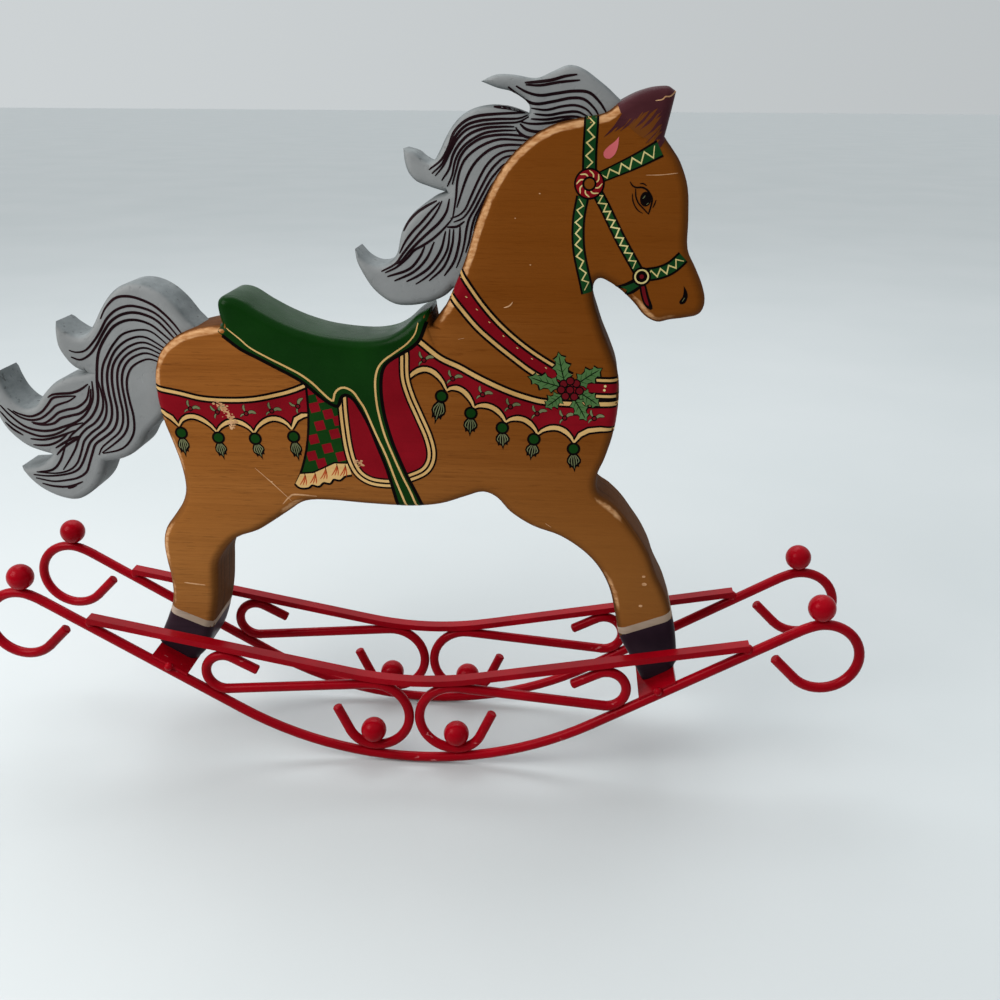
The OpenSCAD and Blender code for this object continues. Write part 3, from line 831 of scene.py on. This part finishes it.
def bridle(d):
    """Straps of the bridle, the knot and red end at the bit, the rosette and the ring."""
    strap(d, [(51, 202.5), (50.9, 198.2), (50.8, 193.5), (50.9, 188.6)], 3.0, 4)
    strap(d, [(49.3, 182), (48.4, 175.4), (48.8, 167.6), (51, 158.4), (51.6, 155.8)], 2.6, 8)
    strap(d, [(53.6, 186.9), (57.5, 188.6), (63.6, 191.4), (69.4, 194.5)], 2.3, 5, 0.38, -1, 1.6)
    strap(d, [(53, 183.4), (55.6, 179), (60.2, 170.6), (65.3, 162.4)], 2.1, 9, 0.42)
    strap(d, [(67.6, 161.2), (71.4, 161.9), (74.6, 163.4), (77.6, 166.2)], 2.8, 4, 0.32)
    d.area("black", [(65.6, 158.6), (61.4, 157.2), (58.9, 157.4), (62.2, 158.9), (64.6, 160.2)])
    d.area("black", [(66, 159.6), (62.6, 156.6), (61.9, 154.9), (64.5, 156), (67, 158)])
    d.area("strap", [(65.2, 159.3), (62.2, 158), (60.9, 157.7), (62.6, 156.9), (62.8, 155.9), (66, 158.2)])
    d.line("black", [(66.9, 158.4), (67.5, 156), (68.4, 153.6), (69.8, 151.6)], 2.1, 0.3, 0.8)
    d.line("berry", [(67, 158), (67.5, 155.8), (68.2, 153.8), (68.9, 152.6)], 0.95, 0.2, 0.9)
    x, z = 51, 185.3
    d.dot("black", x, z, 4.15, n=36)
    d.dot("red", x, z, 3.65, n=36)
    for k in range(8):
        a = math.radians(45 * k + 12)
        ray = [(x + r * math.cos(a + turn), z + r * math.sin(a + turn))
               for r, turn in ((1.9, 0), (2.7, 0.22), (3.5, 0.62))]
        d.line("cream", ray, 0.36, 0.4, 0.6, 0.3)
    d.dot("black", x, z, 1.95, n=24)
    d.dot("wood", x, z, 1.4)
    for kind, r, n in (("black", 2.65, 28), ("cream", 2.05, 24), ("black", 1.6, 20), ("berry", 0.62, 14)):
        d.dot(kind, 66.5, 160.7, r, n=n)


def face(d):
    """Pink drop under the ear, the eye with its lids and lashes, and the nostril."""
    d.area("pink", [(58.4, 197.4), (57.4, 196.2), (55.6, 194.8), (54.5, 193.4), (54.8, 192.1), (56.1, 191.8),
                    (57.4, 192.8), (58.2, 194.8)], True)
    for width, tip, tail, points in (
            (0.5, 0.5, 0.4, [(61.9, 186), (62.6, 185), (63.6, 184.5), (65.3, 184.5), (66.7, 183.8),
                             (67.8, 182.3), (68.1, 181.2), (67.8, 179.3), (67.3, 177.5)]),
            (0.4, 0.5, 0.5, [(63.5, 184.2), (63.7, 182.1), (64.5, 180.4), (65.8, 179.1), (67.3, 177.6)]),
            (0.34, 0.2, 0.2, [(62.7, 183), (62.9, 181.2), (63.6, 179.6), (64.5, 178.5), (65.8, 177.7)]),
            (0.34, 0.2, 0.2, [(64.5, 185.5), (65.5, 185.5), (66.5, 184.9)]),
            (0.34, 0.2, 0.2, [(69.2, 181.4), (68.9, 180.4), (68.4, 179.2)])):
        d.line("black", points, width, tip, tail, 0.3)
    d.dot("black", 66.35, 181.5, 1.5, 1.95)
    d.line("sage", [(65.6, 181.6), (66.2, 182.4)], 0.34, 0.4, 0.4, smooth=False)
    d.line("sage", [(66.7, 180.1), (67.2, 180.5)], 0.3, 0.4, 0.4, smooth=False)
    d.area("black", [(78.3, 158.4), (79.3, 156.8), (79.6, 155.2), (79, 153.6), (77.8, 153.2), (77.4, 154),
                     (78.2, 155.2), (78.4, 156.8)], True)
    d.line("sage", [(78.2, 154), (78.8, 155)], 0.4, 0.4, 0.4, smooth=False)


def hooves(d):
    """Hooves, each under a pale band that slopes."""
    for x, z, slope in ((-76, 46.6, -0.42), (73, 50.1, 0.4)):
        sole = [(x + 16, 20), (x - 16, 20)]
        for kind, up in (("hoof_band", 1.3), ("hoof", -1.3)):
            d.area(kind, [(x - 16, z - 16 * slope + up), (x + 16, z + 16 * slope + up)] + sole)


def scrapes(d):
    """Wear down to bare wood: two speckled scrapes, some scratches and some chips."""
    for path, wide, n in (([(-58.8, 121.2), (-57, 119.4), (-55.4, 116.6), (-54.2, 113.2)], 1.15, 110),
                          ([(-17.4, 103.2), (-15.8, 102.5), (-14.6, 101.8)], 0.8, 26)):
        trail = curve(path, 0.2)
        for _ in range(n):
            x, z = trail[rng.randrange(len(trail))]
            r = rng.uniform(0.14, 0.52)
            x += rng.gauss(0, wide * 0.55)
            z += rng.gauss(0, wide * 0.5)
            d.dot("bare", x, z, r, r * rng.uniform(0.5, 1), 6)
    for wide, path in (
            (0.22, [(-48.8, 100), (-43.5, 94.9), (-38.1, 89.4)]),
            (0.4, [(-76, 59.3), (-72.4, 58.9), (-69, 58.6)]),
            (0.35, [(28, 151.2), (29.6, 151.8), (30.6, 153)]),
            (0.22, [(66, 187.7), (70, 187.8), (74.6, 188.3)]),
            (0.5, [(-41, 88.2), (-38.6, 90.8), (-36.6, 91.6), (-30, 91.2)]),
            (0.4, [(14.8, 141.8), (16.6, 142.2)]),
            (0.7, [(41.4, 84.6), (43.2, 83.4)]),
            (0.34, [(67.4, 206.3), (69.2, 206.6), (70, 207.3), (71.4, 207.5), (73.4, 209.4)])):
        d.line("bare", path, wide, 0.2, 0.2, 0.3, smooth=len(path) > 2)
    for x, z, r in ((72.6, 67.6, 0.55), (72.2, 57.2, 0.6), (72.9, 64.9, 0.8), (-44, 95.6, 0.35),
                    (37.6, 182.6, 0.25), (35.4, 163.4, 0.25), (31, 176, 0.2)):
        d.dot("bare", x, z, r, r * 0.7, 9)


def body_drawing():
    d = Drawing()
    for part in (rump_band, breast_band, checked_cloth, pleated_fringe, blanket, saddle, neck_strap,
                 holly, ear, bridle, face, hooves, scrapes):
        part(d)
    return d


# ---- hair lines, each as x, z, x, z and so on
TAIL_HAIR = (
    (-93.1, 144.7, -91.1, 148, -87.9, 150.9, -84.7, 151.7, -81, 151.2, -76.5, 149.3, -73.4, 146.8,
     -70.8, 143.9, -68.6, 140.8),
    (-104.3, 135, -102.4, 134.4, -99.3, 135, -96.1, 137.9, -93.6, 141.1, -91.1, 144.8, -87.9, 147.5,
     -84.1, 148.8, -80.4, 148.5, -76.5, 147.1, -73.4, 144.5, -69.6, 139.6),
    (-104, 132.9, -101.2, 132.1, -98, 133.8, -95.5, 136.6, -92.9, 140.4, -90.1, 143.9, -86.6, 146.1,
     -82.8, 146.9, -79, 146.2, -75.3, 144.2, -70.6, 138.8),
    (-110.5, 104.2, -108.2, 107.5, -104, 111, -100.5, 114, -98.2, 117.5, -97.3, 121, -97, 125.5, -96, 131.5,
     -94.8, 135.3, -92.3, 139.2, -89.2, 142.6, -85.4, 144.4, -81.6, 144.6, -77.7, 143.3, -74.6, 140.8,
     -71.6, 138),
    (-121.5, 95, -115, 94.8, -110.5, 96, -107.5, 98.5, -105.5, 102.5, -104, 106, -101.2, 108.8, -98, 111.2,
     -95.8, 114.5, -95.1, 118.5, -95.5, 124, -94.6, 129.8, -92.3, 134.1, -89.8, 137.5, -86.6, 140.4,
     -81.6, 141.7, -77.7, 141.1, -73.2, 137.2),
    (-122.6, 94.1, -117.5, 93.8, -112, 94.5, -108, 96, -105.8, 98.5, -104, 102, -102.2, 105.5, -99.5, 108,
     -96.2, 110.5, -94.2, 113.5, -93.5, 117.5, -93.8, 122.5, -93.5, 127.5, -92, 131.8, -89.3, 135.8,
     -85, 138.8, -80, 139.5, -74, 136),
    (-122, 93, -116.5, 92, -112, 92.5, -108, 93.5, -105, 95.5, -103.5, 98.5, -102, 102, -100.5, 105,
     -97.5, 107.2, -94.2, 109.8, -92.5, 112.8, -91.9, 116.5, -92.2, 121, -92.2, 126, -91.2, 130.5,
     -88.5, 134.2, -84.5, 137, -80, 137.8, -74.4, 135),
    (-100, 101.4, -98.5, 104, -95.5, 106.5, -92.5, 109, -90.8, 112, -90.2, 116, -90.5, 120, -90.6, 125,
     -89.8, 129.5, -87.5, 133, -84, 135.4, -80, 136.2, -75, 134),
    (-98.8, 102.2, -96.5, 103.8, -93.5, 106, -90.8, 108.5, -89.2, 111.5, -88.8, 115.5, -89, 120, -89.2, 124.5,
     -88.5, 128.5, -86.5, 131.8, -83.5, 133.8, -80, 134.6, -75.6, 133),
    (-98.6, 102, -93.5, 103.2, -90.5, 105, -88.2, 108, -87.2, 111, -87, 115, -87.5, 119, -87.8, 123.5,
     -87.2, 127, -85.5, 130, -82.5, 132, -79.5, 132.8, -76.2, 131.8),
    (-112.5, 96, -109.5, 100, -107.2, 103.5, -105.5, 107, -103, 109.8, -99.5, 112.2, -97, 115.5, -96, 119,
     -96.2, 122.5, -96.8, 126.5),
    (-121.2, 94.9, -116, 96, -113, 99, -110.5, 104),
    (-98.6, 125.5, -98.9, 121, -100, 118, -102.5, 114.5, -106, 112, -110, 110.5, -114, 109.2, -118, 109,
     -122.5, 110.2, -126.5, 113.5, -129.4, 117),
    (-100, 124.5, -103, 122.5, -106, 121.5, -109.5, 121.2, -112, 120.8, -113.6, 119.8),
    (-104.5, 120.6, -109, 120.3, -112, 119.7, -114, 117.5, -116.5, 115, -120, 113.6, -123.5, 114.2,
     -125.6, 115.3),
    (-104.4, 120.5, -107, 118.9, -109, 118.2, -111.5, 117.2, -114, 115, -117, 113, -120.5, 112.4, -124, 113.5,
     -127.2, 116),
    (-99.6, 124, -101.2, 119.6, -104.5, 117, -108, 116.1, -111, 115, -113.5, 113, -116.5, 111.4,
     -120.2, 111.7),
    (-99.3, 123, -100.5, 118.2, -103.5, 115.3, -107, 114.2, -110.5, 113.2, -113, 111.5, -116.5, 110.9,
     -119.8, 111.3),
    (-103.5, 112, -107.5, 110.8, -111, 108.8, -114.5, 107.5, -118.5, 107.2, -123, 108.8, -126.8, 111.2,
     -129.8, 115),
    (-106.5, 109.4, -110, 108, -113.5, 106.8, -117.5, 106, -121.5, 106.2),
    (-108.8, 108.5, -111.5, 106.2, -115, 104.5, -118, 104.1, -120.9, 104.2),
    (-105, 107.6, -108, 106.6, -110.5, 105.3, -113.8, 103.3),
    (-105.3, 107.1, -109, 105, -111.5, 103.2, -113.8, 101),
    (-123.6, 107.3, -126.5, 109.2, -128.8, 111.5),
    (-120.2, 91.2, -117, 90.4, -113, 90.2, -110, 90.8, -106.6, 92.2),
    (-112, 89.7, -110, 90.4, -108.6, 91.2),
)
MANE_HAIR = (
    (6.8, 188.2, 10.3, 190.9, 12.4, 194.4, 13.8, 197.9, 16.5, 200.6, 20, 202.1, 25.3, 202.7, 33.5, 203.1),
    (7.6, 187.2, 10.6, 190, 12.6, 193.8, 14.4, 197.1, 17.1, 199.7, 20.6, 200.9, 25.3, 201.4, 31.2, 201.6,
     33.8, 202.4),
    (8.5, 186.6, 10.9, 189.4, 12.6, 192.6, 14.7, 196.2, 17.6, 198.8, 21.8, 200, 26.5, 200.4, 31.2, 200.7,
     34.1, 202),
    (10.3, 185.4, 12.4, 188.5, 13.5, 192.1, 15.3, 195, 18.2, 197.6, 22.4, 199.1, 27.1, 199.5, 30.3, 199.5),
    (11.8, 183.8, 13.2, 186.8, 14.1, 190.6, 15.9, 193.8, 18.8, 196.2, 22.4, 197.9, 26.5, 198.5, 30.8, 198.6),
    (13.2, 184.4, 14.4, 188.3, 15.3, 191.2, 17.1, 193.8, 20, 195.9, 22.9, 197, 27.6, 197.5, 32.4, 197.2,
     34.6, 196.6),
    (13.2, 175.3, 13.8, 178.4, 14.3, 181.6, 14.6, 185, 15.4, 188.2, 16.8, 191, 19.4, 193.4, 22.9, 195.3,
     26.5, 196.3, 30.6, 196.2, 35, 196),
    (14.4, 178.2, 15.5, 181.4, 16.6, 184.6, 17.9, 187.6, 19.7, 190.3, 22.4, 192.8, 25.3, 194.3, 28.8, 194.9,
     34, 194.8),
    (12.6, 175.3, 15, 176.2, 16.8, 177.9, 18.2, 180.8, 19.7, 184, 21.2, 187, 22.9, 189.7, 25.3, 192,
     28.2, 193.3, 32.6, 193.5),
    (13.5, 174.3, 15.9, 175.3, 17.6, 177.1, 19.1, 179.6, 20.6, 182.5, 22.1, 185.3, 23.6, 187.8, 25.4, 189.9,
     27.8, 191.7, 31.4, 192.3),
    (14.1, 161.6, 15.6, 165.3, 16.5, 168.8, 17.1, 172.4, 17.9, 175.3, 19.4, 177.8, 20.9, 180.6, 22.4, 183.3,
     23.8, 185.7, 25.5, 187.8, 27.4, 189.7, 30.2, 190.9),
    (16.8, 165.9, 17.9, 169.4, 18.5, 172.4, 19.4, 175.5, 20.9, 178.3, 22.4, 181.1, 23.9, 183.8, 25.8, 186.2,
     28.6, 188.6),
    (19.2, 172, 20.2, 175.2, 21.8, 178.4, 23.6, 181.4, 25.6, 184.2),
    (8.8, 180, 5.9, 178.5, 2.9, 176.5, 0.6, 174.1, -0.9, 171.5),
    (9.7, 179.7, 7.1, 177.1, 4.4, 174.1, 1.8, 171.5, -0.3, 168.8, -2.2, 165.3),
    (10.3, 180, 8.8, 177.1, 6.5, 174.1, 3.8, 171.2, 1.2, 168.2, -1.2, 165.3, -3.5, 162.4, -7.6, 160.2),
    (12.4, 180.6, 11.5, 177.1, 9.4, 174.1, 6.5, 171.5, 3.5, 168.8, 0.6, 165.9, -1.8, 163.2, -3.6, 162.3),
    (13.2, 175.3, 10.6, 172.4, 7.6, 169.7, 4.7, 167.8, 2.2, 166.4, 0, 164.1, -3.2, 161.5, -6.5, 159.9),
    (11.6, 172.9, 14.4, 173.1, 16.6, 174.6),
    (5.2, 167.6, 3.6, 164.4, 0.4, 161, -5.9, 158.8),
    (7.9, 168.8, 5.6, 164.1, 1.8, 160.3, -3.9, 157.6),
    (11.2, 171.8, 9.7, 166.5, 6.5, 161.8, 3, 159.2, -0.4, 157.5),
    (12.4, 172.4, 11.5, 166.5, 8.2, 161.4, 5.2, 158.7, 2.3, 156.8),
    (13.5, 172.4, 12.9, 167.6, 10.6, 162, 6.2, 157.8),
    (15.3, 173.2, 15, 168.8, 13.5, 163.5, 10.6, 159.3),
    (28.5, 209.5, 32.4, 206.6, 35.9, 205.3, 40.6, 205.9, 45.3, 206.8, 48.8, 206.5, 51.6, 204.3, 52.9, 202.4),
    (30.6, 209.7, 33.5, 208.2, 37.1, 207.4, 41.2, 207.9, 45.9, 208.5, 50, 208.2, 52.9, 205.9, 55, 203),
    (34.7, 204.2, 38.8, 203.8, 42.9, 204.7, 46.5, 205, 49.4, 204.1, 51.4, 202.2),
    (35.3, 202.8, 39.4, 202.5, 43.5, 203.2, 47.1, 203.4, 50, 202.2),
    (31.8, 200.8, 34.7, 200.3, 38.2, 200.4, 41.8, 200.9, 44.7, 201.5, 48.4, 201.3),
    (34.7, 201.5, 38.8, 201.4, 42.9, 202, 46.5, 202.2, 49.6, 201.6),
    (31.8, 200.3, 33.5, 198.9, 36.5, 198.3, 39.6, 198.8),
    (30.6, 199.4, 31.8, 197.9, 34.1, 196.8, 37, 197),
    (32.9, 210.5, 36, 210.7, 40.1, 211.2, 43.4, 212.1, 46.8, 212.6),
    (33.2, 210, 37.2, 209.9, 42.3, 210.7, 47.6, 211.2),
    (24.6, 204.5, 29, 204.1, 33.4, 203.2),
)


def hair_drawing(strands, width):
    """Tapered hair lines of about that width, each a little different."""
    d = Drawing()
    for strand in strands:
        uneven = 0.92 + 0.2 * rng.random()
        d.line("hair", np.reshape(strand, (-1, 2)), width * uneven, 0.45, 0.45)
    return d


# ---- building
# spots of the body's edges that are rubbed bare: x, z and reach in mm, and how much
RUBBED = (
    (40, 202, 16, 0.95), (28, 190, 14, 0.95), (20, 172, 14, 1.0), (14, 156, 10, 1.0), (56, 204, 8, 1.0),
    (-70, 139, 11, 0.95), (-77, 124, 10, 0.95), (-62, 143, 8, 1.0), (-75, 104, 9, 0.7), (-81, 74, 10, 0.8),
    (-80, 56, 7, 0.6), (66, 150, 7, 0.8), (73, 148, 5, 0.6), (-38, 88, 5, 0.8), (61, 62, 9, 0.75),
    (59, 88, 8, 0.75), (72, 62, 7, 0.6), (40, 82, 6, 0.5), (70, 210, 5, 0.9), (-27, 90, 5, 0.4))
RUBBED_ALL = 0.22  # how much every edge is rubbed
RUBBED_MIDDLE = 1.35  # mm from the outline, where an edge is rubbed most
RUBBED_WIDE = 1.65  # mm from there to where it isn't rubbed any more


def worn_edges(points, dist):
    """How much each point of the body's rounded edge is rubbed."""
    edge = np.clip(1 - np.abs(dist - RUBBED_MIDDLE) / RUBBED_WIDE, 0, 1) ** 0.8
    amount = np.full(len(points), RUBBED_ALL)
    for x, z, reach, strength in RUBBED:
        near = np.clip(1.5 - np.hypot(points[:, 0] - x, points[:, 2] - z) / reach, 0, 1)
        amount = np.maximum(amount, near * strength)
    return edge * amount


def paint_coats():
    """Piece name and material for each kind of paint."""
    coats = {
        "saddle": ("saddle_paint", "bottle_green", (0.0022, 0.0215, 0.0018), (0.0038, 0.032, 0.0028),
                   0.27, 0.1, 0.065),
        "black": ("black_outlines", "line_black", (0.0015, 0.001, 0.001), (0.005, 0.003, 0.003),
                  0.5, 0.15, 0.02),
        "gold": ("gold_lines", "old_gold", (0.46, 0.26, 0.085), (0.66, 0.42, 0.17), 0.45, 0.25),
        "cream": ("cream_marks", "cream", (0.5, 0.4, 0.15), (0.68, 0.57, 0.26), 0.45, 0.2),
        "red": ("red_cloth_paint", "cloth_red", (0.15, 0.002, 0.006), (0.22, 0.004, 0.01), 0.36),
        "berry": ("berry_paint", "berry_red", (0.09, 0.003, 0.006), (0.15, 0.006, 0.01), 0.35),
        "forest": ("check_and_knob_paint", "forest_green", (0.003, 0.026, 0.003), (0.006, 0.042, 0.005), 0.4),
        "strap": ("bridle_paint", "strap_green", (0.004, 0.035, 0.008), (0.008, 0.055, 0.013), 0.4),
        "leaf": ("holly_paint", "holly_green", (0.05, 0.11, 0.035), (0.085, 0.18, 0.06), 0.42, 0.3),
        "sage": ("sprig_paint", "sage_green", (0.1, 0.115, 0.05), (0.19, 0.2, 0.1), 0.45, 0.3),
        "orange": ("fringe_pleats", "pleat_orange", (0.32, 0.045, 0.012), (0.42, 0.07, 0.02), 0.45),
        "pink": ("ear_drop", "dusty_pink", (0.5, 0.1, 0.11), (0.6, 0.14, 0.15), 0.42),
        "ear": ("ear_brushwork", "plum_brown", (0.034, 0.008, 0.011), (0.066, 0.018, 0.022), 0.4, 0.5),
        "ear_mid": ("ear_underpaint", "umber", (0.088, 0.024, 0.004), (0.14, 0.043, 0.008), 0.42, 0.4),
        "hoof": ("hoof_paint", "hoof_plum", (0.014, 0.007, 0.012), (0.03, 0.015, 0.022), 0.38, 0.3),
        "hoof_band": ("hoof_bands", "hoof_grey", (0.26, 0.19, 0.13), (0.42, 0.33, 0.26), 0.5, 0.4),
        "bare": ("bare_scrapes", "bare_wood", (0.4, 0.2, 0.09), (0.62, 0.37, 0.2), 0.6, 0.4, 0.045, 400),
        "hair": ("hair_lines", "hair_maroon", (0.006, 0.002, 0.003), (0.018, 0.005, 0.007), 0.45),
    }
    return {kind: (label, paint(*values)) for kind, (label, *values) in coats.items()}


def build_boards():
    """The three boards, rounded, each with its paint. They replace the CAD's square ones."""
    body_loop = outline("horse_body")
    plate_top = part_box("front_hoof_plate")[1].z / MM

    def hoof_soles(a, b):
        """Edges of some length that lie level on the hoof plates."""
        run = b - a
        low = (a + b)[:, 1] / 2 < plate_top + 6
        return low & (np.hypot(*run.T) > 5) & (np.abs(run[:, 1]) < np.abs(run[:, 0]))

    def joint(a, b):
        """Edges that lie against the body."""
        return distances((a + b) / 2, body_loop, np.roll(body_loop, -1, axis=0)) < 0.1

    coats = paint_coats()
    hair = hair_paint()
    jobs = (
        ("horse_board", "horse_body", BODY_ROUND, hoof_soles, body_drawing(), wood(), "body_wood"),
        ("mane_board", "mane", HAIR_ROUND, joint, hair_drawing(MANE_HAIR, 0.72), hair, "hair_paint"),
        ("tail_board", "tail", HAIR_ROUND, joint, hair_drawing(TAIL_HAIR, 0.8), hair, "hair_paint"),
    )
    for name, node, radius, square, drawing, mat, slot in jobs:
        board = Board(node, radius, square)
        points, faces, _, dist = board.surface([])
        side = np.clip(1 - dist / radius, 0, 1)
        worn = worn_edges(points, dist) if node == "horse_body" else side
        piece = add_mesh(name, points, faces, mat, {"side": side ** 2, "worn": worn})
        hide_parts(node)
        points, faces, kinds, _ = board.surface(drawing.shapes)
        for kind in sorted(set(kinds) - {"wood"}):
            label, coat = coats[kind]
            if kind == "hair":
                label = node + "_" + label
            add_film(label, points, [f for f, k in zip(faces, kinds) if k == kind], coat)


def coat_cad_nodes():
    """Zinc on the screws and enamel on the rest, for the nodes that no board replaces."""
    red, bare = enamel(), zinc()
    for node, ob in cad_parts.items():
        if node not in ("horse_body", "mane", "tail"):
            for material_slot in ob.material_slots:
                material_slot.material = bare if node == "hoof_screws" else red


def add_floor():
    size = 12
    corners = [(-size, -size, 0), (size, -size, 0), (size, size, 0), (-size, size, 0)]
    me = bpy.data.meshes.new("floor")
    me.from_pydata(corners, [], [(0, 1, 2, 3)])
    me.materials.append(pale_floor())
    floor = link("floor", me)
    floor.location.z = cad_box[0].z - FLOOR_GAP


def add_world():
    """Pale room: bright above and behind the horse, darker on the viewer's side."""
    world = bpy.data.worlds.new("studio")
    world.use_nodes = True
    s = Nodes(world.node_tree)
    x, y, z = s.add("SeparateXYZ", s.add("TexCoord").outputs["Generated"]).outputs
    glow = s.plus(s.times(s.step(y, -0.3, 0.9), 0.34), s.times(s.step(z, 0.1, 0.9), 0.75))
    glow = s.plus(s.plus(glow, s.times(x, -0.12)), 0.26)
    background = s.tree.nodes["Background"].inputs
    s.feed(background["Strength"], glow)
    s.feed(background["Color"], (0.93, 0.98, 1))
    bpy.context.scene.world = world
    bpy.context.scene.view_settings.view_transform = "Standard"


add_camera()
add_world()
add_floor()
add_area("key", (-0.42, -0.3, 0.44), (-0.04, 0, 0.09), (0.34, 0.34), 2.6, (1, 0.985, 0.96))
add_area("top", (-0.15, 0.4, 1.0), (0, 0, 0.1), (0.9, 0.6), 5, (0.95, 0.98, 1))
build_boards()
coat_cad_nodes()
